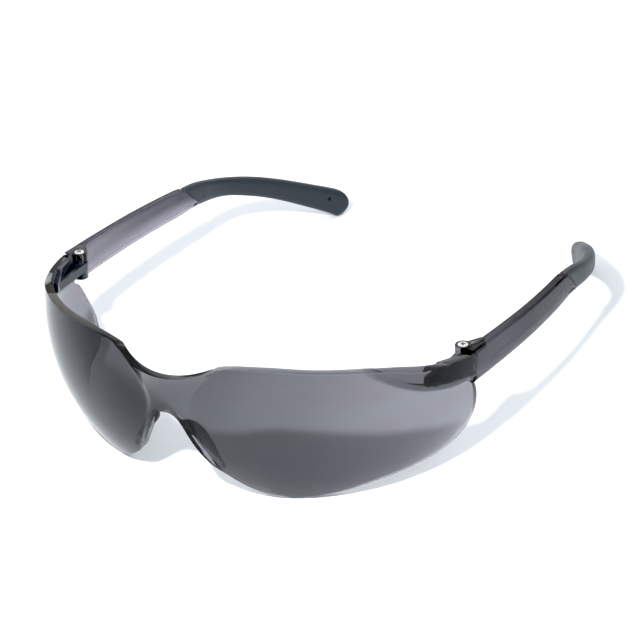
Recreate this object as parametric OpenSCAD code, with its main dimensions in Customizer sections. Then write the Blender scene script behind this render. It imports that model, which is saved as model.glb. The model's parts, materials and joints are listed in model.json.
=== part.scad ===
// Wraparound safety glasses: a one-piece lens with hollow hinge pods, two folding temples with soft tips.
// X runs across the face, Y from the lens back along the temples, Z up.
// The glasses stand open on the lens's lower edges and the two tip ends, at z = 0.
// The modules draw with Y counted from the hinge axes; stand() then puts the middle of the glasses at Y = 0.

/* [Lens] */
// Front radius of each domed lens panel
panel_r = 57; // [55:0.5:60]
// Sideways distance of a panel's centre from the middle
panel_x = 10; // [9:0.5:11]
// Place of a panel's centre along Y
panel_y = 6; // [5:0.5:7]
// Height of a panel's centre
panel_z = 32.7; // [31:0.1:34]
// Wall thickness of the lens
lens_t = 2.2; // [1.8:0.1:2.6]
// Front radius of the nose saddle at its waist
saddle_r = 18; // [17:0.5:19]
// Radius of the saddle's upward flare
saddle_flare = 28; // [24:1:34]
// Height of the saddle's waist
saddle_z = 28; // [26:1:30]
// Place of the saddle's axis along Y
saddle_y = -34; // [-35:0.5:-33]
// How far each hinge pod stands out of the lens
pod_out = 1; // [0.6:0.1:1.3]

/* [Hinges] */
// Sideways distance of a hinge axis from the middle
hinge_x = 63; // [62.5:0.1:63.2]
// Outer radius of the hinge knuckles
knuckle_r = 2.4; // [2.2:0.1:2.4]
// Radius of the screw's shank
shank_r = 0.8; // [0.7:0.05:1]
// Radius of the screw's head
head_r = 1.35; // [1.2:0.05:1.45]
// Running clearance round the shank
run_gap = 0.05; // [0.03:0.01:0.08]
// Gap between the lens and the front end of a temple
seam_gap = 0.3; // [0.25:0.05:0.4]

/* [Temples] */
// Thickness of a temple arm
arm_t = 2.8; // [2.4:0.1:3]
// Depth of the channel in a temple's inner face
channel_d = 0.9; // [0.5:0.1:1.2]
// Thickness of the tang inside a tip
tang_t = 1.6; // [1.2:0.1:1.8]

/* [Tips] */
// Thickness of a tip where it meets the arm
tip_t0 = 3.5; // [3.3:0.1:3.8]
// Thickness of a tip at its end
tip_t1 = 4.8; // [4:0.1:5.2]
// Radius of the cord hole near the end of a tip
cord_hole_r = 0.6; // [0.5:0.1:0.9]

/* [Nose pads] */
// Thickness of a nose pad
pad_t = 1.8; // [1.4:0.1:2]
// Angle between a pad and the Y axis, seen from above
pad_splay = 28; // [24:1:32]
// Lean of a pad, its lower end outwards
pad_lean = 28; // [24:1:32]

/* [Hidden] */
$fn = 96;
far = 200;                            // longer than any cut
middle_y = 34.2;                      // from the hinge axes to the middle of the glasses
spans = 5;                            // straight pieces in each span of a curve

sky = 60;                             // above everything
sphere_fn = 160;

panel_c = [panel_x, panel_y, panel_z];
pod_c = panel_c + pod_out * [1.15, 1.29, 0];
pod_wall = 1.9;
pod_r = panel_r - pod_wall;           // inner radius of a pod
pod_inner_rise = 1.2;                 // the pod's hollow starts this much above its lower edge

// Lens outline seen from the front, as x and z, from the middle of the bridge round to the nose edge.
lens_top = [[0, 40.6], [4, 40.8], [9, 41.7], [16.5, 44.1], [22, 44.9], [30, 45.1], [39, 44.4],
            [48.5, 43.3], [55.5, 41.7], [61.4, 38.9], [66, 37.2], [72, 36.4]];
lens_bottom = [[72, 9], [66, 8.2], [58, 6.6], [50, 4.9], [42, 2.7], [35, 0.9], [30, 0.1], [27, 0.2],
               [23.5, 1.6], [19.3, 4.2], [14.4, 8.4]];
nose_arch = [[14.4, 8.4], [11.2, 12.4], [8.5, 16.8], [6.5, 20.6], [4.9, 24], [3.5, 26.4], [1.9, 27.8],
             [0, 28.2]];

// Rear edge of the lens seen from the side, as y and z, from the pod's end down.
lens_rear = [[-3.3, 39], [-1.2, 36.4], [-0.3, 33], [-0.9, 30.4], [-2.2, 28.6]];
lens_tail = [[-2.2, 28.6], [0.3, 26.4], [2.6, 21], [3.7, 15], [2.6, 10.8], [-1, 8.2], [-9, 6], [-30, 1]];

// Lower edge of a pod seen from the side.
pod_edge = [[-31.4, 43.6], [-30.4, 40.6], [-26, 36.6], [-20.5, 33.3], [-14.4, 31], [-8, 29.6], [-2, 29.2]];
pod_back = 20;                        // behind the lens

// Hinge heights, from the bottom of the boss up.
boss_z = 29.7;
knuckle_z = 32.4;
lap_z = 35;
eye_top = 38;
lap_gap = 0.1;
swing_gap = 0.3;
head_h = 0.8;
head_top = 38.3;
head_dome = 2.6;                      // radius of the head's domed top
head_rim = 0.5;                       // straight part of the head's side
slot = [1.6, 0.5, 0.45];              // length, width and depth of each arm of the cross recess
slot_turn = 20;
foot = 0.8;                           // closed floor of the boss below the shank

// Hinge block: the wall that lies against the pod, the shelf round the knuckle and a slanting rib.
wall_t = 1.4;
wall_side = [[-16.8, 33.2], [-16.4, 35.8], [-13.2, 36.8], [-11.8, 38.2], [-3.4, 36.9], [-3.4, 30.4],
             [-7, 31.2], [-15.6, 33]];
shelf_t = 1;
lip_t = 1;
rib = [[0, 0], [10.4, 0], [10.4, 4.4], [9.6, 4.4], [0, 2.2]];
rib_t = 0.9;
rib_from = [0.5, -13];                // from the knuckle's inner side, and along Y
rib_turn = -12;

// Temple seen from the side: height of its top and bottom edges at a place along Y.
function arm_top(y) = 37.75 - 0.097 * y;
function arm_bottom(y) = 27.7 - 0.067 * y;
// Outer face of a temple seen from above, as x and y.
arm_outer = [[67.35, -5], [67.4, 0], [67.9, 10], [68.3, 22], [68.4, 34], [67.9, 48], [67.1, 60], [66.9, 70]];
seam_top_y = 59;
seam_bottom_y = 66.8;
arm_front = -4;                       // runs into the lens here before the seam is cut
channel_front = 7.5;
channel_lip = [1, 1.4];               // below and above the channel
eye_web = [[0, 0.4], [3.8, 0.4], [3.8, 6.5], [2.2, 6.5], [-0.6, 2.2]]; // from the hinge axis

// Tang that runs on inside the tip, seen from the side, and its locking peg.
tang_side = [[56, 30.4], [seam_bottom_y, 29.3], [79, 25.8], [83, 23.6], [79, 22.6], [66, 24.9], [58, 26]];
peg = [63.5, 69, 26.2];
peg_r = 1.1;
peg_h = 1.5;

// Middle line of a tip seen from above, and its top and bottom edges seen from the side.
tip_line = [[65.4, 54], [65.3, 66], [64.9, 74], [63.4, 81.5], [60.4, 89.5], [55.8, 98.8], [49.3, 110.3],
            [42.3, 122.5], [40.2, 126]];
tip_top = [[59, 32], [66.5, 30.8], [75, 28.4], [83, 26], [91, 23.3], [100, 19.5], [111.5, 13.7], [121, 8.7]];
tip_end = [[121, 8.7], [123.3, 6.6], [122.9, 3.4], [120.6, 0.5]];
tip_bottom = [[120.6, 0.5], [119, 0], [116.8, 1.5], [108.5, 6.9], [98, 13.2], [88, 17.8], [79, 20.9],
              [seam_bottom_y, 23.1]];
cord_hole = [114.5, 8.1];

// Nose pad outline in its own plane, as distance back and height.
pad_root = [2.6, -50.6, 25.2];
pad_outline = [[-3, 0.6], [2.8, 0.8], [5.3, -0.4], [7.5, -4], [9.1, -9], [9.7, -13], [9.8, -15.6],
               [9.3, -17], [-3, -17]];
pad_ribs = 8;
pad_rib_pitch = 2;
pad_rib_w = 0.6;
pad_rib_d = 0.3;

// A smooth curve through a list of points.
function clampi(i, n) = min(max(i, 0), n - 1);
function blend_at(a, b, c, d, t) = 0.5 * (2 * b + (c - a) * t + (2 * a - 5 * b + 4 * c - d) * t * t
    + (3 * b - a - 3 * c + d) * t * t * t);
function curve(p) = [for (i = [0 : len(p) - 2], k = [0 : spans - 1])
    blend_at(p[clampi(i - 1, len(p))], p[i], p[i + 1], p[clampi(i + 2, len(p))], k / spans)];
function ended(p) = concat(curve(p), [p[len(p) - 1]]);
function back(p) = [for (i = [len(p) - 1 : -1 : 0]) p[i]];
// The same line moved sideways by the distance d0 at its start and d1 at its end.
function beside(p, d0, d1) = [for (i = [0 : len(p) - 1])
    let (a = p[clampi(i - 1, len(p))], b = p[clampi(i + 1, len(p))], t = (b - a) / norm(b - a),
         d = d0 + (d1 - d0) * i / (len(p) - 1))
    p[i] + d * [t[1], -t[0]]];

// Shapes drawn from above, from the front and from the side, carried through along the third axis.
module seen_from_front() { translate([0, far / 2, 0]) rotate([90, 0, 0]) linear_extrude(far) children(); }
module seen_from_left() { rotate([90, 0, 90]) linear_extrude(far) children(); }
module stand() { translate([0, -middle_y, 0]) children(); }
module wearers_left() { stand() children(); }
module wearers_right() { stand() mirror([1, 0, 0]) children(); }
module both_sides() {
    children();
    mirror([1, 0, 0]) children();
}

// Solid bounded by the lens surface, set back by a distance.
module panels(inset) { both_sides() translate(panel_c) sphere(r = panel_r - inset, $fn = sphere_fn); }
module saddle(inset) {
    waist = saddle_r - inset;
    translate([0, saddle_y, 0]) rotate_extrude() {
        square([waist, sky]);
        translate([waist, saddle_z]) difference() {
            square([saddle_flare / 3, saddle_flare * 0.7]);
            translate([saddle_flare + inset, 0]) circle(r = saddle_flare + inset, $fn = sphere_fn);
        }
    }
}
module pod_ball(radius) { translate(pod_c) sphere(r = radius, $fn = sphere_fn); }
module pod_region(rise) {
    edge = [for (p = pod_edge) p + [rise, rise]];
    seen_from_left() polygon(concat(ended(edge), [[pod_back, edge[len(edge) - 1][1]], [pod_back, sky],
                                                  [edge[0][0], sky]]));
}
module lens_face() {
    polygon(concat(curve(lens_top), curve(lens_bottom), ended(nose_arch)));
}
module lens_side() {
    polygon(concat([[-far, sky], [lens_rear[0][0], sky]], curve(lens_rear), ended(lens_tail), [[-far, 0]]));
}
module lens_half_trim() {
    intersection() {
        seen_from_front() lens_face();
        seen_from_left() lens_side();
    }
}
module lens() {
    color([0.42, 0.43, 0.46, 0.75]) intersection() {
        difference() {
            union() {
                panels(0);
                saddle(0);
                both_sides() intersection() {
                    pod_ball(panel_r);
                    pod_region(0);
                }
            }
            panels(lens_t);
            saddle(lens_t);
            both_sides() intersection() {
                pod_ball(pod_r);
                pod_region(pod_inner_rise);
            }
        }
        both_sides() lens_half_trim();
    }
}

module nose_pad() {
    color([0.16, 0.17, 0.19]) intersection() {
        translate(pad_root) rotate([0, 0, -pad_splay]) rotate([0, -pad_lean, 0]) difference() {
            rotate([90, 0, 90]) linear_extrude(pad_t) polygon(ended(pad_outline));
            for (k = [1 : pad_ribs])
                translate([-1, -far / 2, -pad_rib_pitch * k - pad_rib_w / 2]) cube([1 + pad_rib_d, far, pad_rib_w]);
        }
        union() {
            panels(lens_t);
            saddle(lens_t);
        }
    }
}

module screw_axis() { translate([hinge_x, 0, 0]) children(); }
module block_wall() {
    intersection() {
        difference() {
            pod_ball(pod_r);
            pod_ball(pod_r - wall_t);
        }
        seen_from_left() polygon(wall_side);
    }
}
module block_shelf(z0, z1) {
    intersection() {
        pod_ball(pod_r);
        translate([0, 0, z0]) linear_extrude(z1 - z0)
            polygon([[hinge_x - knuckle_r, -14.6], [hinge_x - knuckle_r + 1.6, -16.2], [far, -16.2], [far, -2.8],
                     [hinge_x, -1], [hinge_x - knuckle_r, 0]]);
    }
}
module hinge_block() {
    color([0.1, 0.12, 0.15]) difference() {
        union() {
            block_wall();
            block_shelf(knuckle_z, knuckle_z + shelf_t);
            intersection() {
                block_shelf(knuckle_z, lap_z - lap_gap);
                translate([hinge_x - knuckle_r, -far / 2, 0]) cube([lip_t, far, far]);
            }
            screw_axis() translate([0, 0, knuckle_z]) cylinder(r = knuckle_r, h = lap_z - lap_gap - knuckle_z);
            screw_axis() translate([0, 0, boss_z]) cylinder(r = knuckle_r - 0.3, h = knuckle_z - boss_z + 0.5);
            block_gusset();
        }
        screw_axis() translate([0, 0, boss_z + foot]) cylinder(r = shank_r, h = far);
    }
}
// Slanting rib from the front of the lip to the foot of the knuckle.
module block_gusset() {
    translate([hinge_x - knuckle_r + rib_from[0], rib_from[1], knuckle_z]) rotate([0, 0, rib_turn])
        rotate([90, 0, 90]) linear_extrude(rib_t) polygon(rib);
}

module hinge_screw() {
    color([0.8, 0.8, 0.78]) screw_axis() difference() {
        union() {
            translate([0, 0, boss_z + foot]) cylinder(r = shank_r, h = head_top - head_h / 2 - boss_z - foot);
            translate([0, 0, head_top - head_h]) cylinder(r = head_r, h = head_rim);
            intersection() {
                translate([0, 0, head_top - head_h]) cylinder(r = head_r, h = head_h);
                translate([0, 0, head_top - head_dome]) sphere(r = head_dome);
            }
        }
        for (a = [0, 90])
            rotate([0, 0, a + slot_turn]) translate([-slot[0] / 2, -slot[1] / 2, head_top - slot[2]]) cube(slot);
    }
}

// Plan of a temple, as a strip inside its outer face.
module arm_plan(from_out, to_out) {
    outer = ended(arm_outer);
    polygon(concat(beside(outer, -from_out, -from_out), back(beside(outer, -to_out, -to_out))));
}
module arm_side() {
    difference() {
        polygon([[arm_front, arm_bottom(arm_front)], [arm_front, arm_top(arm_front)],
                 [seam_top_y, arm_top(seam_top_y)], [seam_bottom_y, arm_bottom(seam_bottom_y)]]);
        translate([seam_gap, 0]) lens_side();
    }
}
module arm_bar() {
    intersection() {
        linear_extrude(far) arm_plan(0, arm_t);
        seen_from_left() arm_side();
    }
}
module arm_channel() {
    intersection() {
        linear_extrude(far) arm_plan(arm_t - channel_d, arm_t + 1);
        seen_from_left() polygon([[channel_front, arm_bottom(channel_front) + channel_lip[0]],
                                  [channel_front, arm_top(channel_front) - channel_lip[1]],
                                  [seam_top_y - 2, arm_top(seam_top_y) - channel_lip[1]],
                                  [seam_bottom_y - 2.4, arm_bottom(seam_bottom_y) + channel_lip[0]]]);
    }
}
module arm_eye() {
    difference() {
        union() {
            screw_axis() translate([0, 0, lap_z]) cylinder(r = knuckle_r - 0.1, h = eye_top - lap_z);
            screw_axis() translate([0, 0, lap_z]) linear_extrude(eye_top - lap_z - 0.3) polygon(eye_web);
        }
        screw_axis() cylinder(r = shank_r + run_gap, h = far);
        screw_axis() translate([0, 0, head_top - head_h - lap_gap]) cylinder(r = head_r + 0.15, h = far);
    }
}
module tang() {
    intersection() {
        linear_extrude(far) tip_plan(tang_t / 2, tang_t / 2);
        seen_from_left() polygon(tang_side);
    }
    translate(peg) rotate([0, 90, 0]) cylinder(r = peg_r, h = peg_h);
}
module temple() {
    color([0.4, 0.38, 0.42, 0.8]) union() {
        difference() {
            arm_bar();
            arm_channel();
            screw_axis() cylinder(r = knuckle_r + swing_gap, h = lap_z);
        }
        arm_eye();
        tang();
    }
}

// Plan of a strip along a tip's middle line, from its half widths at the front and at the end.
module tip_plan(half_front, half_end) {
    mid = ended(tip_line);
    polygon(concat(beside(mid, half_front, half_end), back(beside(mid, -half_front, -half_end))));
}
module tip_side() {
    polygon(concat(curve(tip_top), curve(tip_end), ended(tip_bottom)));
}
module temple_tip() {
    color([0.22, 0.26, 0.3]) difference() {
        intersection() {
            linear_extrude(far) tip_plan(tip_t0 / 2, tip_t1 / 2);
            seen_from_left() tip_side();
        }
        arm_bar();
        tang();
        seen_from_left() translate(cord_hole) circle(r = cord_hole_r);
    }
}

stand() lens();
wearers_left() nose_pad();  // nose_pad_left
wearers_right() nose_pad();  // nose_pad_right
wearers_left() hinge_block();  // hinge_block_left
wearers_right() hinge_block();  // hinge_block_right
wearers_left() hinge_screw();  // hinge_screw_left
wearers_right() hinge_screw();  // hinge_screw_right
wearers_left() temple();  // temple_left
wearers_right() temple();  // temple_right
wearers_left() temple_tip();  // temple_tip_left
wearers_right() temple_tip();  // temple_tip_right
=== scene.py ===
import json
import math
import bmesh
import bpy
from mathutils import Matrix, Vector


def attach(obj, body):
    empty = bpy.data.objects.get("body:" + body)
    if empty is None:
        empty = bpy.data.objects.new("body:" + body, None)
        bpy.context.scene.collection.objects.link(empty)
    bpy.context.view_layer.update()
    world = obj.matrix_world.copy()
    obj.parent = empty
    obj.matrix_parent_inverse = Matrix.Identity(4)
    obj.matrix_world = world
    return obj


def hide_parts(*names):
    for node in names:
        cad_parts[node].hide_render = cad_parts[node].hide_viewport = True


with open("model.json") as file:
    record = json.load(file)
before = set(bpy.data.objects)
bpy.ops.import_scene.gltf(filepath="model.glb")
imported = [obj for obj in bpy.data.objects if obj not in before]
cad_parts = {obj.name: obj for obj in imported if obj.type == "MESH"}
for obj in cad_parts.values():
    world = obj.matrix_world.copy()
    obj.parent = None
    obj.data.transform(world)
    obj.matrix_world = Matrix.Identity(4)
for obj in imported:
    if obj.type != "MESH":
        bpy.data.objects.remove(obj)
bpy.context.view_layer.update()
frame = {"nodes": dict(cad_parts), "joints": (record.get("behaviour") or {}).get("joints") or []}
print("frame loaded:", len(frame["nodes"]), "nodes")

# Shapes are worked out in millimetres with Y counted from the hinge axes, as in the part's own drawing.
mm = 0.001
leftHinge = next(Vector(j["pos_m"]) for j in frame["joints"] if j["name"] == "left_fold")
sides = {"left": ("left_arm", 1), "right": ("right_arm", -1)}   # wearer's side: body and direction along X


def smoothStep(low, high, x):
    t = min(max((x - low) / (high - low), 0.0), 1.0)
    return t * t * (3 - 2 * t)


def smoothMax(a, b, width):
    # The larger of two values, blended where they nearly meet.
    h = max(width - abs(a - b), 0.0) / width
    return max(a, b) + h * h * width / 4


def mix(a, b, t):
    return a + (b - a) * t


def curvePoint(points, t):
    # A smooth curve through the points; t counts the points passed.
    span = min(int(t), len(points) - 2)
    k = t - span
    near = [points[min(max(span + i, 0), len(points) - 1)] for i in (-1, 0, 1, 2)]
    a, b, c, d = (Vector(p) for p in near)
    return 0.5 * (2 * b + (c - a) * k + (2 * a - 5 * b + 4 * c - d) * k * k
                  + (3 * b - a - 3 * c + d) * k ** 3)


def smoothCurve(points, perSpan=12):
    steps = (len(points) - 1) * perSpan
    return [curvePoint(points, i / perSpan) for i in range(steps + 1)]


def lookUp(curve, x, across=0, up=1):
    # Reads a curve: the value of one coordinate where another one is x.
    for a, b in zip(curve, curve[1:]):
        low, high = sorted((a[across], b[across]))
        if low <= x <= high and high > low:
            return mix(a[up], b[up], (x - a[across]) / (b[across] - a[across]))
    ends = sorted((curve[0], curve[-1]), key=lambda p: p[across])
    return ends[0][up] if x < ends[0][across] else ends[1][up]


def acrossAt(line, along):
    # The first coordinate of a line where its second one is the value given.
    return lookUp(line, along, 1, 0)


def evenly(curve, count, scale=(1.0, 1.0)):
    # Cuts a curve into equal steps, its length measured after scaling.
    sized = [Vector((p[0] * scale[0], p[1] * scale[1])) for p in curve]
    runs = [0.0]
    for a, b in zip(sized, sized[1:]):
        runs.append(runs[-1] + (b - a).length)
    out, i = [], 0
    for k in range(count + 1):
        want = runs[-1] * k / count
        while i < len(runs) - 2 and runs[i + 1] < want:
            i += 1
        part = (want - runs[i]) / max(runs[i + 1] - runs[i], 1e-9)
        out.append(curve[i].lerp(curve[i + 1], min(max(part, 0.0), 1.0)))
    return out


def solve(low, high, reaches):
    # The smallest value between two bounds from which the test holds.
    for _ in range(36):
        middle = (low + high) / 2
        low, high = (low, middle) if reaches(middle) else (middle, high)
    return (low + high) / 2


def sheet(across, along):
    # A grid of quads, with x and y from 0 to 1.
    bm = bmesh.new()
    bmesh.ops.create_grid(bm, x_segments=across, y_segments=along, size=0.5)
    bmesh.ops.translate(bm, verts=bm.verts, vec=(0.5, 0.5, 0))
    return bm


def slab(across, along):
    # A closed slab of quads: x and y run from 0 to 1 over its face, z from 0 outside to 1 inside.
    bm = sheet(across, along)
    inner = bmesh.ops.extrude_face_region(bm, geom=bm.faces[:])
    innerVerts = [g for g in inner["geom"] if isinstance(g, bmesh.types.BMVert)]
    bmesh.ops.translate(bm, verts=innerVerts, vec=(0, 0, 1))
    return bm


def finishPiece(bm, name, body, material, stands=(), side=1, bevel=None):
    bmesh.ops.scale(bm, verts=bm.verts, vec=(side * mm, mm, mm))
    bmesh.ops.translate(bm, verts=bm.verts, vec=(0, leftHinge.y, 0))
    bmesh.ops.remove_doubles(bm, verts=bm.verts, dist=1e-7)
    bmesh.ops.recalc_face_normals(bm, faces=bm.faces)
    for face in bm.faces:
        face.smooth = True
    mesh = bpy.data.meshes.new(name)
    bm.to_mesh(mesh)
    bm.free()
    mesh.materials.append(material)
    piece = bpy.data.objects.new(name, mesh)
    bpy.context.scene.collection.objects.link(piece)
    if bevel:
        roundEdges(piece, *bevel)
    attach(piece, body)
    if stands:
        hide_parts(*stands)
    return piece


def roundEdges(piece, width, segments, degrees):
    edges = piece.modifiers.new("edges", "BEVEL")
    edges.width = width * mm
    edges.segments = segments
    edges.limit_method = "ANGLE"
    edges.angle_limit = math.radians(degrees)
    return edges


def newGroup(name, inputs, outputs):
    group = bpy.data.node_groups.new(name, "ShaderNodeTree")
    for label, value in inputs.items():
        group.interface.new_socket(label, in_out="INPUT", socket_type="NodeSocketFloat").default_value = value
    for label in outputs:
        group.interface.new_socket(label, in_out="OUTPUT", socket_type="NodeSocketFloat")
    return group, group.nodes.new("NodeGroupInput"), group.nodes.new("NodeGroupOutput")


def addNode(tree, kind, **settings):
    node = tree.nodes.new(kind)
    for label, value in settings.items():
        if hasattr(node, label):
            setattr(node, label, value)
        else:
            node.inputs[label].default_value = value
    return node


def makeGrainGroup():
    # Fine moulded grain: a height for the bump, and a broad mask for colour and roughness.
    group, given, result = newGroup("mouldGrain", {"Scale": 900.0}, ["Height", "Mask"])
    place = addNode(group, "ShaderNodeTexCoord")
    noise = addNode(group, "ShaderNodeTexNoise", Detail=4.0)
    broad = addNode(group, "ShaderNodeTexNoise", Scale=60.0, Detail=3.0)
    group.links.new(place.outputs["Object"], noise.inputs["Vector"])
    group.links.new(place.outputs["Object"], broad.inputs["Vector"])
    group.links.new(given.outputs["Scale"], noise.inputs["Scale"])
    group.links.new(noise.outputs["Fac"], result.inputs["Height"])
    group.links.new(broad.outputs["Fac"], result.inputs["Mask"])
    return group


def makeWearGroup():
    # Handling marks along edges and ridges.
    group, given, result = newGroup("edgeWear", {"Edge": 0.54, "Breakup": 350.0}, ["Mask"])
    place = addNode(group, "ShaderNodeTexCoord")
    shape = addNode(group, "ShaderNodeNewGeometry")
    noise = addNode(group, "ShaderNodeTexNoise")
    edge = addNode(group, "ShaderNodeMapRange")
    high = addNode(group, "ShaderNodeMath", operation="ADD")
    high.inputs[1].default_value = 0.08   # how fast the wear comes in
    both = addNode(group, "ShaderNodeMath", operation="MULTIPLY")
    group.links.new(place.outputs["Object"], noise.inputs["Vector"])
    group.links.new(given.outputs["Breakup"], noise.inputs["Scale"])
    group.links.new(shape.outputs["Pointiness"], edge.inputs["Value"])
    group.links.new(given.outputs["Edge"], edge.inputs["From Min"])
    group.links.new(given.outputs["Edge"], high.inputs[0])
    group.links.new(high.outputs[0], edge.inputs["From Max"])
    group.links.new(edge.outputs["Result"], both.inputs[0])
    group.links.new(noise.outputs["Fac"], both.inputs[1])
    group.links.new(both.outputs[0], result.inputs["Mask"])
    return group


grainGroup = makeGrainGroup()
wearGroup = makeWearGroup()


def newMaterial(name):
    material = bpy.data.materials.new(name)
    material.use_nodes = True
    tree = material.node_tree
    return material, tree, tree.nodes["Principled BSDF"], tree.nodes["Material Output"]


def useGroup(tree, group, **values):
    return addNode(tree, "ShaderNodeGroup", node_tree=group, **values)


def colourRamp(tree, source, stops):
    ramp = addNode(tree, "ShaderNodeValToRGB")
    for _ in range(len(stops) - 2):
        ramp.color_ramp.elements.new(0.5)
    for element, (place, colour) in zip(ramp.color_ramp.elements, stops):
        element.position = place
        element.color = (*colour, 1.0)
    tree.links.new(source, ramp.inputs["Fac"])
    return ramp


def mixColour(tree, amount, a, b, how="MIX"):
    node = addNode(tree, "ShaderNodeMix", data_type="RGBA", blend_type=how)
    for socket, value in ((node.inputs["Factor"], amount), (node.inputs[6], a), (node.inputs[7], b)):
        if isinstance(value, bpy.types.NodeSocket):
            tree.links.new(value, socket)
        else:
            socket.default_value = value if isinstance(value, float) else (*value, 1.0)
    return node.outputs[2]


def mapRange(tree, value, fromMin, fromMax, toMin, toMax):
    node = addNode(tree, "ShaderNodeMapRange")
    for label, number in (("From Min", fromMin), ("From Max", fromMax), ("To Min", toMin), ("To Max", toMax)):
        node.inputs[label].default_value = number
    tree.links.new(value, node.inputs["Value"])
    return node.outputs["Result"]


def addBump(tree, shader, height, distance):
    bump = addNode(tree, "ShaderNodeBump", Strength=1.0, Distance=distance)
    tree.links.new(height, bump.inputs["Height"])
    tree.links.new(bump.outputs["Normal"], shader.inputs["Normal"])


def addRoughness(tree, shader, grain, ends):
    rough = mapRange(tree, grain.outputs["Mask"], 0.3, 0.7, *ends)
    tree.links.new(rough, shader.inputs["Roughness"])


def smokeMaterial(name, look):
    # See-through plastic: a tint by height times the mesh's own shade, over a smoky body. Parts of both are
    # painted light: the lens's coloured bands by height, and lighter and darker zones set in the shade.
    material, tree, shader, output = newMaterial(name)
    place = addNode(tree, "ShaderNodeTexCoord")
    parts = addNode(tree, "ShaderNodeSeparateXYZ")
    tree.links.new(place.outputs["Object"], parts.inputs["Vector"])
    height = mapRange(tree, parts.outputs["Z"], 0.0, look["height"] * mm, 0.0, 1.0)
    tintAndPaintedLight = colourRamp(tree, height, look["tintsAndPaintedLight"]).outputs["Color"]
    if "shade" in look:
        shade = addNode(tree, "ShaderNodeAttribute")
        shade.attribute_name = look["shade"]
        tintAndPaintedLight = mixColour(tree, 1.0, tintAndPaintedLight, shade.outputs["Color"], "MULTIPLY")
    grain = useGroup(tree, grainGroup, Scale=look["grainScale"])
    tree.links.new(tintAndPaintedLight, shader.inputs["Base Color"])
    addRoughness(tree, shader, grain, look["roughness"])
    shader.inputs["Transmission Weight"].default_value = 1.0
    shader.inputs["IOR"].default_value = look["ior"]
    if look["grainDepth"]:
        addBump(tree, shader, grain.outputs["Height"], look["grainDepth"] * mm)
    body = addNode(tree, "ShaderNodeVolumeAbsorption")
    body.inputs["Color"].default_value = (*look["bodyColour"], 1.0)
    body.inputs["Density"].default_value = look["density"]
    tree.links.new(body.outputs["Volume"], output.inputs["Volume"])
    return material


def solidMaterial(name, look):
    # Opaque rubber, plastic or metal: two mottled colours, worn along its ridges.
    material, tree, shader, _ = newMaterial(name)
    grain = useGroup(tree, grainGroup, Scale=look["grainScale"])
    wear = useGroup(tree, wearGroup)
    base = mixColour(tree, grain.outputs["Mask"], look["dark"], look["light"])
    worn = mixColour(tree, wear.outputs["Mask"], base, look["worn"])
    tree.links.new(worn, shader.inputs["Base Color"])
    addRoughness(tree, shader, grain, look["roughness"])
    shader.inputs["Metallic"].default_value = look.get("metallic", 0.0)
    shader.inputs["IOR"].default_value = 1.5
    shader.inputs["Sheen Weight"].default_value = look.get("sheen", 0.0)
    shader.inputs["Specular IOR Level"].default_value = look.get("specular", 0.5)
    addBump(tree, shader, grain.outputs["Height"], look["grainDepth"] * mm)
    return material


smokeLens = smokeMaterial("smokeLens", {
    "height": 45.0, "shade": "shade",
    # a pale smoky colour, with faint pink and green bands by height that are painted light
    "tintsAndPaintedLight": [(0.0, (0.95, 0.92, 1.0)), (0.34, (0.95, 0.91, 1.0)), (0.46, (0.93, 0.95, 1.0)),
              (0.56, (1.0, 0.90, 0.98)), (0.68, (0.92, 0.97, 1.0)), (0.80, (0.99, 0.91, 0.99)),
              (1.0, (0.94, 0.97, 1.0))],
    "roughness": (0.0, 0.03), "ior": 1.29, "grainScale": 40.0, "grainDepth": 0.0,
    "bodyColour": (0.40, 0.39, 0.425), "density": 420.0,
})
smokeArm = smokeMaterial("smokeArm", {
    "height": 40.0, "shade": "shade",
    # the tint darker towards the top: painted shade, with the lighter lower edge set in the shade
    "tintsAndPaintedLight": [(0.0, (0.22, 0.214, 0.23)), (1.0, (0.19, 0.18, 0.20))],
    "roughness": (0.12, 0.22), "ior": 1.14, "grainScale": 900.0, "grainDepth": 0.01,
    "bodyColour": (0.52, 0.50, 0.54), "density": 300.0,
})
smokeEye = smokeMaterial("smokeEye", {
    "height": 40.0,
    "tintsAndPaintedLight": [(0.0, (0.34, 0.34, 0.36)), (1.0, (0.34, 0.34, 0.36))],
    "roughness": (0.05, 0.15), "ior": 1.25, "grainScale": 900.0, "grainDepth": 0.01,
    "bodyColour": (0.50, 0.50, 0.52), "density": 350.0,
})
tipRubber = solidMaterial("tipRubber", {
    "dark": (0.012, 0.018, 0.024), "light": (0.018, 0.025, 0.032), "worn": (0.06, 0.07, 0.085),
    "roughness": (0.42, 0.55), "grainScale": 1500.0, "grainDepth": 0.03, "sheen": 0.03, "specular": 0.4,
})
padRubber = solidMaterial("padRubber", {
    "dark": (0.012, 0.014, 0.019), "light": (0.018, 0.021, 0.027), "worn": (0.04, 0.05, 0.06),
    "roughness": (0.40, 0.5), "grainScale": 1500.0, "grainDepth": 0.03, "sheen": 0.05,
})
hingePlastic = solidMaterial("hingePlastic", {
    "dark": (0.009, 0.013, 0.019), "light": (0.016, 0.021, 0.029), "worn": (0.05, 0.06, 0.08),
    "roughness": (0.22, 0.30), "grainScale": 700.0, "grainDepth": 0.01,
})
screwMetal = solidMaterial("screwMetal", {
    "dark": (0.62, 0.61, 0.58), "light": (0.86, 0.85, 0.82), "worn": (0.95, 0.95, 0.93),
    "roughness": (0.16, 0.3), "grainScale": 2500.0, "grainDepth": 0.01, "metallic": 1.0,
})
print("materials made")

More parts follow.
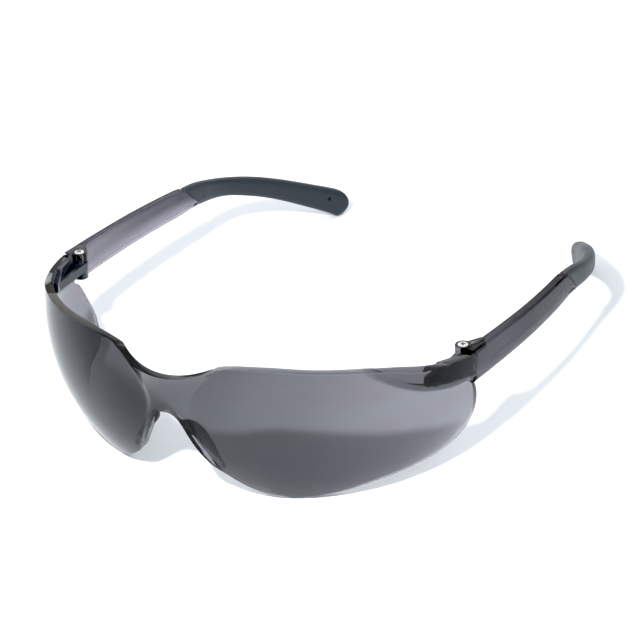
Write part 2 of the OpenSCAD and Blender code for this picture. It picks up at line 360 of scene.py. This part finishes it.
lens = {
    "panelRadius": 57.0, "panelX": 10.0, "panelY": 6.0, "panelZ": 32.7, "wall": 2.2,
    "saddleRadius": 18.0, "saddleFlare": 28.0, "saddleZ": 28.0, "saddleY": -34.0,
    "podShiftX": 1.15, "podShiftY": 1.29, "podWall": 1.9, "podStep": 0.78, "podRise": 1.2,
    "creaseWidth": 0.3, "axisY": -20.0, "widest": 2.1, "widestCrease": 0.95,
    "noseColumns": 30, "panelColumns": 172, "rows": 92, "rimRound": 0.3, "edgeSteps": 40,
    "squareRim": (35.0, 55.0), "corner": (-1.7, 37.0),
    "bridgeShade": 0.172, "innerShade": 0.167, "middleShade": 0.225, "outerShade": 0.46, "podShade": 0.175,
    # Next: a light band for the rim, the wearer's right darkened and the bridge's near half lightened, all
    # painted light; then the pods' fade.
    "paintedRimLight": 0.7, "paintedFarShade": 0.72, "paintedBridgeLight": 1.15, "podFade": 0.5,
    # Where the painted side shade turns across the panel and the bridge, and how it fades towards the back.
    "panelTurn": (-16.0, 6.0), "bridgeTurn": (-16.0, 10.0),
    "turnFade": (0.45, 0.85), "middleFade": (0.0, 0.4), "outerFade": (0.35, 1.0),
    "top": [(0, 40.6), (4, 40.8), (9, 41.7), (16.5, 44.1), (22, 44.9), (30, 45.1), (39, 44.4), (48.5, 43.3),
            (55.5, 41.7), (61.4, 38.9)],
    "bottom": [(0, 28.2), (1.9, 27.8), (3.5, 26.4), (4.9, 24), (6.5, 20.6), (8.5, 16.8), (11.2, 12.4),
               (14.4, 8.4), (19.3, 4.2), (23.5, 1.6), (27, 0.2), (30, 0.1), (35, 0.9), (42, 2.7), (50, 4.9),
               (57, 6.4)],
    "tail": [(-5.5, 7.1), (-1, 8.2)],
    "rear": [(2.6, 10.8), (3.7, 15), (2.6, 21), (0.3, 26.4), (-2.2, 28.6), (-0.9, 30.4), (-0.3, 33),
             (-1.2, 36.4)],
    "podEdge": [(-31.4, 43.6), (-30.4, 40.6), (-26, 36.6), (-20.5, 33.3), (-14.4, 31), (-8, 29.6),
                (-2, 29.2)],
}
podCurve = smoothCurve(lens["podEdge"])
lensScale = (50.0, 1.0)   # weighs an angle in radians against a height when an edge is cut into even steps


def circleExit(centreX, centreY, radius, angle):
    # How far a level ray from the lens's upright axis runs until it leaves a circle.
    dx, dy = math.sin(angle), -math.cos(angle)
    ox, oy = -centreX, lens["axisY"] - centreY
    b = ox * dx + oy * dy
    return -b + math.sqrt(max(b * b - ox * ox - oy * oy + radius * radius, 0.0))


def sphereExit(shift, inset, z, angle):
    # The same for the panel's ball, shifted and made smaller by the inset.
    across = math.sqrt((lens["panelRadius"] - inset) ** 2 - (z - lens["panelZ"]) ** 2)
    return circleExit(lens["panelX"] + shift[0], lens["panelY"] + shift[1], across, angle)


def lensReach(angle, z, depth):
    # Distance from the upright axis through the nose to the lens surface; depth 0 is its face, 1 its back.
    panel = sphereExit((0, 0), depth * lens["wall"], z, angle)
    pod = sphereExit((lens["podShiftX"], lens["podShiftY"]), depth * lens["podWall"], z, angle)
    y = lens["axisY"] - panel * math.cos(angle)
    rise = depth * lens["podRise"]
    edge = lookUp(podCurve, y - rise) + rise
    inPod = smoothStep(0.0, lens["podStep"], z - edge) if y > podCurve[0][0] else 0.0
    reach = panel + max(pod - panel, 0.0) * inPod
    return smoothMax(reach, saddleExit(angle, z, depth), lens["creaseWidth"])


def saddleExit(angle, z, depth):
    inset = depth * lens["wall"]
    return circleExit(0, lens["saddleY"], saddleRadius(z, inset), angle)


def saddleRadius(z, inset):
    above, flare = max(z - lens["saddleZ"], 0.0), lens["saddleFlare"] + inset
    return lens["saddleRadius"] - inset + flare - math.sqrt(flare * flare - above * above)


def lensPoint(angle, z, depth):
    reach = lensReach(abs(angle), z, depth)
    return Vector((reach * math.sin(angle), lens["axisY"] - reach * math.cos(angle), z))


def frontSpot(x, z, depth):
    return Vector((solve(0, lens["widest"], lambda a: lensPoint(a, z, depth).x >= x), z))


def sideSpot(y, z, depth):
    return Vector((solve(0, lens["widest"], lambda a: lensPoint(a, z, depth).y >= y), z))


def rimSpot(find, along, z, depth, square):
    # Rim place at a depth; square runs from 0, a straight cut, to 1, a cut square to the lens.
    return find(along, z, depth).lerp(find(along, z, 0), square)


def creaseGap(angle, z, depth):
    # Above zero where the nose saddle stands in front of the lens panel.
    return saddleExit(angle, z, depth) - sphereExit((0, 0), depth * lens["wall"], z, angle)


def splitAtCrease(curve, depth):
    firstPanel = 9   # the steps before this one always belong to the nose
    place = next(i for i, p in enumerate(curve) if i >= firstPanel and creaseGap(p[0], p[1], depth) < 0)
    return curve[:place + 1], curve[place:]


def lensPatches(depth):
    # The nose patch and the panel patch, each as four edges cut into as many steps as its grid has.
    def cut(curve, count):
        return evenly(curve, count, lensScale)

    rows, steps = lens["rows"], lens["edgeSteps"]
    rear = [sideSpot(y, z, depth) for y, z in lens["rear"]]
    corner = sideSpot(*lens["corner"], depth)
    bottom = [rimSpot(frontSpot, x, z, depth, smoothStep(*lens["squareRim"], x)) for x, z in lens["bottom"]]
    last = len(lens["tail"]) - 1
    bottom += [rimSpot(sideSpot, y, z, depth, 1 - k / last) for k, (y, z) in enumerate(lens["tail"])]
    top = [frontSpot(x, z, depth) for x, z in lens["top"]]
    lowNose, lowPanel = splitAtCrease(smoothCurve(bottom + rear[:1], steps), depth)
    highNose, highPanel = splitAtCrease(smoothCurve(top + [corner], steps), depth)
    foot, head = lowPanel[0], highPanel[0]
    heights = [mix(foot[1], head[1], j / rows) for j in range(1, rows)]
    widest = lens["widestCrease"]
    bend = [Vector((solve(0, widest, lambda a: creaseGap(a, z, depth) < 0), z)) for z in heights]
    crease = cut([foot] + bend + [head], rows)
    nose = {"bottom": cut(lowNose, lens["noseColumns"]), "top": cut(highNose, lens["noseColumns"]),
            "left": cut([lowNose[0], highNose[0]], rows), "right": crease}
    panel = {"bottom": cut(lowPanel, lens["panelColumns"]), "top": cut(highPanel, lens["panelColumns"]),
             "left": crease, "right": cut(smoothCurve(rear + [corner]), rows)}
    return nose, panel


def patchSpot(edges, i, j, columns, rows):
    # A grid place from the four edges around it.
    u, v = i / columns, j / rows
    low, high, left, right = edges["bottom"], edges["top"], edges["left"], edges["right"]
    return (mix(low[i], high[i], v) + mix(left[j], right[j], u)
            - mix(mix(low[0], low[-1], u), mix(high[0], high[-1], u), v))


def lensShade(column, spot):
    # Dark by the nose and in the pods, clearer at the sides. Near the nose the wearer's right is darker and
    # the bridge's other half a little lighter: painted shade and painted light.
    back = (column - lens["noseColumns"]) / lens["panelColumns"]
    if back <= 0:
        near = smoothStep(*lens["bridgeTurn"], spot.x)
        # painted shade on the wearer's right and painted light on the bridge's other half
        return lens["bridgeShade"] * mix(lens["paintedFarShade"], lens["paintedBridgeLight"], near)
    near = smoothStep(*lens["panelTurn"], spot.x)
    # painted shade: the wearer's right darkened near the nose, fading towards the back
    paintedSideShade = mix(mix(lens["paintedFarShade"], 1.0, near), 1.0, smoothStep(*lens["turnFade"], back))
    inner = mix(lens["innerShade"], lens["middleShade"], smoothStep(*lens["middleFade"], back))
    clear = mix(inner, lens["outerShade"], smoothStep(*lens["outerFade"], back))
    above = spot.z - lookUp(podCurve, spot.y)
    inPod = smoothStep(0.0, lens["podFade"], above) if spot.y > podCurve[0][0] else 0.0
    return paintedSideShade * mix(clear, lens["podShade"], inPod)


def buildLens():
    patches = {0: lensPatches(0), 1: lensPatches(1)}
    noseColumns, rows = lens["noseColumns"], lens["rows"]
    columns = noseColumns + lens["panelColumns"]
    bm = slab(2 * columns, rows)
    shade = bm.verts.layers.float.new("shade")
    for vert in bm.verts:
        across, depth = round((2 * vert.co.x - 1) * columns), round(vert.co.z)
        column, row = abs(across), round(vert.co.y * rows)
        nose, panel = patches[depth]
        if column > noseColumns:
            spot = patchSpot(panel, column - noseColumns, row, lens["panelColumns"], rows)
        else:
            spot = patchSpot(nose, column, row, noseColumns, rows)
        vert.co = lensPoint(math.copysign(spot.x, across), spot.y, depth)
        # Rim rows take a clearer value: a painted light band along the lens's edges.
        vert[shade] = lensShade(column, vert.co) if 0 < row < rows else lens["paintedRimLight"]
    return finishPiece(bm, "lens_shell", "front", smokeLens, stands=["lens"],
                       bevel=(lens["rimRound"], 3, 50))


lensShell = buildLens()
print("lens built:", len(lensShell.data.polygons), "faces")

arm = {
    "outer": [(67.35, -5), (67.4, 0), (67.9, 10), (68.3, 22), (68.4, 34), (67.9, 48), (67.1, 60), (66.9, 70)],
    "paintedSideTone": {"left": 0.6, "right": 1.55}, "paintedLowLight": 1.8, "paintedLowBand": 0.3, "streakShade": 0.5,
    "streakUp": (0.25, 0.55), "streakBack": (0.1, 0.8),
    "topFront": 37.75, "topFall": 0.097, "bottomFront": 27.7, "bottomFall": 0.067, "lips": (0.1, 0.88),
    "thickness": 2.8, "channel": 0.7, "channelLow": (0.0, 0.45), "channelHigh": (1.0, 0.6),
    "channelStart": (5.0, 11.0), "channelEnd": (9.0, 1.0),
    "seamTop": 59.0, "seamBottom": 66.8, "gap": 0.3,
    "columns": 96, "rows": 14, "relief": 2.7, "reliefTop": (34.4, 35.0), "tipBlend": 4.0,
    "outerRound": 0.9, "innerRound": 0.35, "tipInset": 0.35,
    "front": [(-3.3, 39), (-1.2, 36.4), (-0.3, 33), (-0.9, 30.4), (-2.2, 28.6)],
}
hingeX = leftHinge.x / mm
armCurve, armFront = smoothCurve(arm["outer"]), smoothCurve(arm["front"])


def armPoint(i, j, w):
    # Place on the arm: i steps back, j steps up, w from its outer face to its inner face.
    height = mix(*arm["lips"], (j - 1) / (arm["rows"] - 2))
    if j in (0, arm["rows"]):
        height = j / arm["rows"]
    y, blend = 0.0, arm["tipBlend"]
    for _ in range(4):   # the edges fall with y, so the place is found in a few rounds
        tight = arm["tipInset"] * smoothStep(arm["seamTop"] - blend, arm["seamTop"] + blend, y)
        top = arm["topFront"] - arm["topFall"] * y - tight
        bottom = arm["bottomFront"] - arm["bottomFall"] * y + tight
        z = mix(bottom, top, height)
        front = acrossAt(armFront, z) + arm["gap"]
        seam = mix(arm["seamBottom"], arm["seamTop"], height)
        y = mix(front, seam, i / arm["columns"])
    ahead, behind = acrossAt(armCurve, y + 0.5), acrossAt(armCurve, y - 0.5)
    across = Vector((1.0, behind - ahead)).normalized()
    fade, end = arm["channelEnd"]
    hollow = arm["channel"] * smoothStep(*arm["channelLow"], height) * smoothStep(*arm["channelHigh"], height)
    hollow *= smoothStep(*arm["channelStart"], y) * smoothStep(seam - end, seam - fade, y)
    depth = w * (arm["thickness"] - hollow)
    x = acrossAt(armCurve, y) - across.x * depth
    y -= across.y * depth
    if w > 0.4 and abs(y) < arm["relief"]:   # leaves room for the hinge block's knuckle
        clear = hingeX + math.sqrt(arm["relief"] ** 2 - y * y)
        x = mix(max(x, clear), x, smoothStep(*arm["reliefTop"], z))
    return Vector((x, y, z))


def buildArm(side):
    body, sign = sides[side]
    bm = slab(arm["columns"], arm["rows"])
    weight = bm.edges.layers.float.new("bevel_weight_edge")
    for edge in bm.edges:
        if edge.calc_face_angle(0) > 1:
            middle = (edge.verts[0].co + edge.verts[1].co) / 2
            longOuter = middle.z < 0.01 and 0.001 < middle.x < 0.999
            edge[weight] = 1.0 if longOuter else arm["innerRound"] / arm["outerRound"]
    shade = bm.verts.layers.float.new("shade")
    for vert in bm.verts:
        height, back = vert.co.y, vert.co.x
        streak = smoothStep(*arm["streakUp"], height) * smoothStep(*arm["streakBack"], back)
        # lighter along the lower edge: painted light; a darker streak also runs high up towards the back
        low = mix(arm["paintedLowLight"], 1.0, smoothStep(0.0, arm["paintedLowBand"], height))
        # each side's arm set darker or lighter as a whole: painted light, the two arms being of one plastic
        vert[shade] = arm["paintedSideTone"][side] * low * mix(1.0, arm["streakShade"], streak)
        vert.co = armPoint(round(back * arm["columns"]), round(height * arm["rows"]), vert.co.z)
    piece = finishPiece(bm, "temple_arm_" + side, body, smokeArm, ["temple_" + side], sign)
    edges = roundEdges(piece, arm["outerRound"], 4, 30)
    edges.limit_method = "WEIGHT"


eye = {
    "radius": 2.3, "hole": 0.85, "cup": 1.5, "low": 35.0, "high": 38.0, "cupFloor": 37.4, "steps": 48,
    "bracket": [(62.9, 0.4), (66.0, 0.4), (66.4, 6.3), (65.2, 6.5), (62.4, 2.1)], "bracketLow": 35.02,
    "bracketTop": 37.6, "round": 0.2,
}


def ringOf(profile, steps):
    # A closed ring: the profile, as radius and height, spun once about the hinge axis.
    bm = bmesh.new()
    verts = [bm.verts.new((r, 0, z)) for r, z in profile]
    edges = [bm.edges.new((a, b)) for a, b in zip(verts, verts[1:] + verts[:1])]
    bmesh.ops.spin(bm, geom=verts + edges, cent=(0, 0, 0), axis=(0, 0, 1), angle=math.tau, steps=steps,
                   use_merge=True, use_duplicate=False)
    bmesh.ops.translate(bm, verts=bm.verts, vec=(hingeX, 0, 0))
    return bm


def prism(outline, low, high):
    # An upright block over an outline given as x and y.
    bm = bmesh.new()
    base = bm.faces.new([bm.verts.new((x, y, low)) for x, y in outline])
    raised = bmesh.ops.extrude_face_region(bm, geom=[base])
    up = [g for g in raised["geom"] if isinstance(g, bmesh.types.BMVert)]
    bmesh.ops.translate(bm, verts=up, vec=(0, 0, high - low))
    return bm


def buildEye(side):
    body, sign = sides[side]
    hole, radius, cup = eye["hole"], eye["radius"], eye["cup"]
    low, high, cupFloor = eye["low"], eye["high"], eye["cupFloor"]
    profile = [(hole, low), (radius, low), (radius, high), (cup, high), (cup, cupFloor), (hole, cupFloor)]
    ring = ringOf(profile, eye["steps"])
    finishPiece(ring, "temple_eye_" + side, body, smokeEye, ["temple_" + side], sign,
                (eye["round"], 3, 40))
    block = prism(eye["bracket"], eye["bracketLow"], eye["bracketTop"])
    finishPiece(block, "temple_bracket_" + side, body, smokeEye, ["temple_" + side], sign,
                (eye["round"], 3, 30))


tip = {
    "line": [(65.4, 54), (65.3, 66), (64.9, 74), (63.4, 81.5), (60.4, 89.5), (55.8, 98.8), (49.3, 110.3),
             (42.3, 122.5), (40.2, 126)],
    "top": [(59, 32), (66.5, 30.8), (75, 28.4), (83, 26), (91, 23.3), (100, 19.5), (111.5, 13.7), (119, 9.7),
            (121.6, 7.4), (122.2, 4.9)],
    "bottom": [(66.8, 23.1), (79, 20.9), (88, 17.8), (98, 13.2), (108.5, 6.9), (116.2, 1.9), (118.6, 0.35),
               (120.6, 0.9), (121.9, 2.6), (122.2, 4.9)],
    "frontThickness": 3.5, "endThickness": 4.8, "square": 2.9, "along": 110, "around": 40,
    "swell": (0.1, 0.95), "domedEnd": 0.045, "lipLength": 0.006, "lipInset": 0.86, "chord": 0.7,
    "hole": (114.5, 8.1), "holeRadius": 0.6, "peg": (69.0, 26.2), "pegSize": (0.85, 1.5), "pegLength": 1.2,
    "pegRim": 0.28, "pegDish": 0.16, "pegOut": 0.08, "pegRound": 0.06,
}
tipLine = smoothCurve(tip["line"])
tipTop = evenly(smoothCurve(tip["top"]), tip["along"])
tipBottom = evenly(smoothCurve(tip["bottom"]), tip["along"])


def squared(value, power):
    # Pushes a sine or cosine outwards, so that a round section grows squarer.
    return math.copysign(abs(value) ** (2 / power), value)


def tipPoint(turn, k):
    # Place on the tip: turn round its section, k steps back along it.
    top, bottom = tipTop[k], tipBottom[k]
    middle, half = (top + bottom) / 2, (top - bottom) / 2
    s = k / tip["along"]
    width = mix(tip["frontThickness"], tip["endThickness"], smoothStep(*tip["swell"], s)) / 2
    toEnd = min((1 - s) / tip["domedEnd"], 1.0)
    width *= math.sqrt(max(1 - (1 - toEnd) ** 2, 0.0))
    lip = min(s / tip["lipLength"], 1.0)
    grown = mix(tip["lipInset"], 1.0, math.sqrt(lip)) if k else 0.0   # the first ring closes the front end
    up = squared(math.sin(turn), tip["square"]) * grown
    out = squared(math.cos(turn), tip["square"]) * grown
    spot, chord = middle + half * up, tip["chord"]
    ahead, behind = acrossAt(tipLine, spot.x + chord), acrossAt(tipLine, spot.x - chord)
    across = Vector((2 * chord, behind - ahead)).normalized()
    x = acrossAt(tipLine, spot.x)
    return Vector((x + across.x * out * width, spot.x + across.y * out * width, spot.y))


def drill(piece, bm):
    # Cuts a hole with the shape in bm, which is in the part's millimetres.
    cutter = bpy.data.objects.new("cutter", bpy.data.meshes.new("cutter"))
    bmesh.ops.scale(bm, verts=bm.verts, vec=(mm, mm, mm))
    bmesh.ops.translate(bm, verts=bm.verts, vec=(0, leftHinge.y, 0))
    bm.to_mesh(cutter.data)
    bm.free()
    bpy.context.scene.collection.objects.link(cutter)
    cut = piece.modifiers.new("hole", "BOOLEAN")
    cut.object = cutter
    cut.operation = "DIFFERENCE"
    cut.solver = "EXACT"
    bpy.context.view_layer.update()
    done = bpy.data.meshes.new_from_object(piece.evaluated_get(bpy.context.evaluated_depsgraph_get()))
    piece.modifiers.remove(cut)
    piece.data = done
    done.name = piece.name
    bpy.data.objects.remove(cutter)


def buildTip(side):
    body, sign = sides[side]
    bm = sheet(tip["around"], tip["along"])   # rolled up into a tube
    for vert in bm.verts:
        vert.co = tipPoint(vert.co.x * math.tau, round(vert.co.y * tip["along"]))
    bmesh.ops.remove_doubles(bm, verts=bm.verts, dist=1e-4)
    piece = finishPiece(bm, "tip_sleeve_" + side, body, tipRubber, ["temple_tip_" + side], sign)
    y, z = tip["hole"]
    pin = bmesh.new()
    radius = tip["holeRadius"]
    bmesh.ops.create_cone(pin, cap_ends=True, segments=24, radius1=radius, radius2=radius, depth=30)
    bmesh.ops.rotate(pin, verts=pin.verts, matrix=Matrix.Rotation(math.pi / 2, 3, "Y"))
    bmesh.ops.translate(pin, verts=pin.verts, vec=(sign * acrossAt(tipLine, y), y, z))
    drill(piece, pin)
    buildPeg(side, body, sign)


def buildPeg(side, body, sign):
    # End of the arm's locking peg, in its oval window on the tip's inner face.
    y, z = tip["peg"]
    wide, high = tip["pegSize"]
    face = acrossAt(tipLine, y) - tip["frontThickness"] / 2
    bm = bmesh.new()
    bmesh.ops.create_cone(bm, cap_ends=True, segments=32, radius1=1.0, radius2=1.0, depth=tip["pegLength"])
    caps = [f for f in bm.faces if len(f.verts) > 4]
    bmesh.ops.inset_region(bm, faces=caps, thickness=tip["pegRim"], depth=-tip["pegDish"])
    bmesh.ops.rotate(bm, verts=bm.verts, matrix=Matrix.Rotation(math.pi / 2, 3, "Y"))
    bmesh.ops.scale(bm, verts=bm.verts, vec=(1, wide, high))
    bmesh.ops.translate(bm, verts=bm.verts, vec=(face + tip["pegLength"] / 2 - tip["pegOut"], y, z))
    finishPiece(bm, "tip_peg_" + side, body, hingePlastic, ["temple_" + side], sign,
                (tip["pegRound"], 2, 40))


pad = {
    "root": (2.6, -50.6, 25.2), "splay": 28.0, "lean": 28.0, "thickness": 1.8,
    "back": [(0.2, 2.4), (-0.8, 4.8), (-4, 7), (-9, 8.6), (-13, 9.2), (-15.4, 9.3), (-16.4, 8.9)],
    "ribs": 9, "ribDepth": 0.32, "ribStart": 0.12, "rearRound": 0.6, "rearPower": 10, "endPower": 14,
    "columns": 26, "rows": 120, "clear": 0.05, "farFront": -2.0,
}
padBack = smoothCurve(pad["back"])


def padSpot(sunk, back, height):
    # A place in the pad's own plane, turned and leant to where it sits behind the lens.
    splay = Matrix.Rotation(math.radians(-pad["splay"]), 3, "Z")
    lean = Matrix.Rotation(math.radians(-pad["lean"]), 3, "Y")
    return Vector(pad["root"]) + splay @ lean @ Vector((sunk, back, height))


def behindLens(point):
    flat = Vector((point.x, point.y - lens["axisY"]))
    return flat.length < lensReach(math.atan2(flat.x, -flat.y), point.z, 1) - pad["clear"]


def padPoint(u, v, w):
    # Place on the pad: u from the lens back, v up, w from its ribbed nose face to its other face.
    height = mix(pad["back"][-1][0], pad["back"][0][0], v)
    ends = math.sqrt(max(1 - abs(2 * v - 1) ** pad["endPower"], 0.0))
    sunk = mix(0.0, pad["thickness"], mix(0.5, w, ends))
    rear = lookUp(padBack, height, 0, 1)
    front = solve(pad["farFront"], rear, lambda b: behindLens(padSpot(sunk, b, height)))
    wave = 0.5 - 0.5 * math.cos(v * pad["ribs"] * math.tau)
    rib = pad["ribDepth"] * wave * smoothStep(0, pad["ribStart"], u) * (1 - w)
    edge = pad["rearRound"] * (1 - math.sqrt(max(1 - u ** pad["rearPower"], 0.0))) * (0.5 - w)
    return padSpot(sunk + rib + edge, mix(front, rear, u), height)


def buildPad(side):
    bm = slab(pad["columns"], pad["rows"])
    for vert in bm.verts:
        vert.co = padPoint(*vert.co)
    finishPiece(bm, "nose_rest_" + side, "front", padRubber, ["nose_pad_" + side], sides[side][1])


recessShadow = {"long": 0.74, "half": 0.23, "low": 38.0, "high": 38.16, "turn": 20.0}


def buildRecessShadow(side):
    # A dark cross set at the floor of a screw head's cross recess: a painted shadow, darkening the recess.
    a, b = recessShadow["long"], recessShadow["half"]
    quarter = [Vector((a, -b)), Vector((a, b)), Vector((b, b))]
    outline = [Matrix.Rotation(math.pi / 2 * k, 2) @ corner for k in range(4) for corner in quarter]
    bm = prism(outline, recessShadow["low"], recessShadow["high"])
    bmesh.ops.rotate(bm, verts=bm.verts, matrix=Matrix.Rotation(math.radians(recessShadow["turn"]), 3, "Z"))
    bmesh.ops.translate(bm, verts=bm.verts, vec=(hingeX, 0, 0))
    finishPiece(bm, "screw_recess_shadow_" + side, "front", hingePlastic, [], sides[side][1])


def dressNode(name, material, width):
    # Gives a node of the frame its material and softly rounded edges.
    node = frame["nodes"][name]
    node.data.materials.clear()
    node.data.materials.append(material)
    weld = node.modifiers.new("weld", "WELD")
    weld.merge_threshold = 1e-6
    roundEdges(node, width, 2, 35)


for side in sides:
    buildArm(side)
    buildEye(side)
    buildTip(side)
    buildPad(side)
    buildRecessShadow(side)
    dressNode("hinge_block_" + side, hingePlastic, 0.15)
    dressNode("hinge_screw_" + side, screwMetal, 0.05)
    print(side, "side finished")


studio = {
    "floorSize": 6.0, "zenith": 0.78, "horizon": 0.25, "gradient": (0.05, 0.75),
    "keySize": 0.03, "keyPower": 2.1,
    "paper": ((0.89, 0.935, 0.98), (0.90, 0.945, 0.99)), "sky": (0.985, 0.995, 1.0),
    "black": 0.012, "white": 0.735,
    "keyFrom": (0.089, -0.349, 0.345), "lookAt": (0.00888, -0.01837, 0.02445),
    "backSize": (1.3, 0.6), "backPower": 2.2, "backFrom": (-0.62, 1.0, 0.66),
    "azimuth": 30.88, "elevation": 29.06, "roll": -2.55, "distance": 0.68387, "focal": 133.54,
}


def buildFloor():
    bm = bmesh.new()
    bmesh.ops.create_grid(bm, x_segments=1, y_segments=1, size=studio["floorSize"] / 2)
    mesh = bpy.data.meshes.new("floor")
    bm.to_mesh(mesh)
    bm.free()
    floor = bpy.data.objects.new("floor", mesh)
    bpy.context.scene.collection.objects.link(floor)
    material, tree, shader, _ = newMaterial("palePaper")
    noise = addNode(tree, "ShaderNodeTexNoise", Scale=3.0)
    paper = mixColour(tree, noise.outputs["Fac"], *studio["paper"])
    tree.links.new(paper, shader.inputs["Base Color"])
    shader.inputs["Roughness"].default_value = 0.9
    shader.inputs["Specular IOR Level"].default_value = 0.1
    mesh.materials.append(material)


def aimAt(thing, place, target, roll=0.0):
    # Looks from a place to a target along the thing's own -Z.
    back = (Vector(place) - Vector(target)).normalized()
    turn = back.to_track_quat("Z", "Y").to_matrix().to_4x4()
    thing.matrix_world = Matrix.Translation(place) @ turn @ Matrix.Rotation(math.radians(roll), 4, "Z")


def buildLight():
    world = bpy.data.worlds.new("tent")
    world.use_nodes = True
    tree = world.node_tree
    background = tree.nodes["Background"]
    background.inputs["Color"].default_value = (*studio["sky"], 1.0)
    place = addNode(tree, "ShaderNodeTexCoord")
    parts = addNode(tree, "ShaderNodeSeparateXYZ")
    tree.links.new(place.outputs["Generated"], parts.inputs["Vector"])
    up = mapRange(tree, parts.outputs["Z"], *studio["gradient"], studio["horizon"], studio["zenith"])
    tree.links.new(up, background.inputs["Strength"])
    bpy.context.scene.world = world
    addLamp("key", "DISK", (studio["keySize"], studio["keySize"]), studio["keyPower"], studio["keyFrom"])
    addLamp("back", "RECTANGLE", studio["backSize"], studio["backPower"], studio["backFrom"])


def addLamp(name, shape, size, power, place):
    light = bpy.data.lights.new(name, "AREA")
    light.shape = shape
    light.size = size[0]
    light.size_y = size[1]
    light.energy = power
    lamp = bpy.data.objects.new(name, light)
    bpy.context.scene.collection.objects.link(lamp)
    aimAt(lamp, place, studio["lookAt"])


def buildCamera():
    azimuth, elevation = math.radians(studio["azimuth"]), math.radians(studio["elevation"])
    away = Vector((math.sin(azimuth) * math.cos(elevation), -math.cos(azimuth) * math.cos(elevation),
                   math.sin(elevation)))
    data = bpy.data.cameras.new("camera")
    data.sensor_width = 36.0
    data.lens = studio["focal"]
    data.clip_start = 0.01
    camera = bpy.data.objects.new("camera", data)
    bpy.context.scene.collection.objects.link(camera)
    aimAt(camera, Vector(studio["lookAt"]) + away * studio["distance"], studio["lookAt"], studio["roll"])
    bpy.context.scene.camera = camera


buildFloor()
buildLight()
buildCamera()


def setPrint():
    # A plain print, with the pale paper gone to white.
    view = bpy.context.scene.view_settings
    view.view_transform = "Standard"
    view.use_curve_mapping = True
    view.curve_mapping.black_level = [studio["black"]] * 3
    view.curve_mapping.white_level = [studio["white"]] * 3
    view.curve_mapping.update()


setPrint()
print("studio built")

bpy.context.view_layer.update()
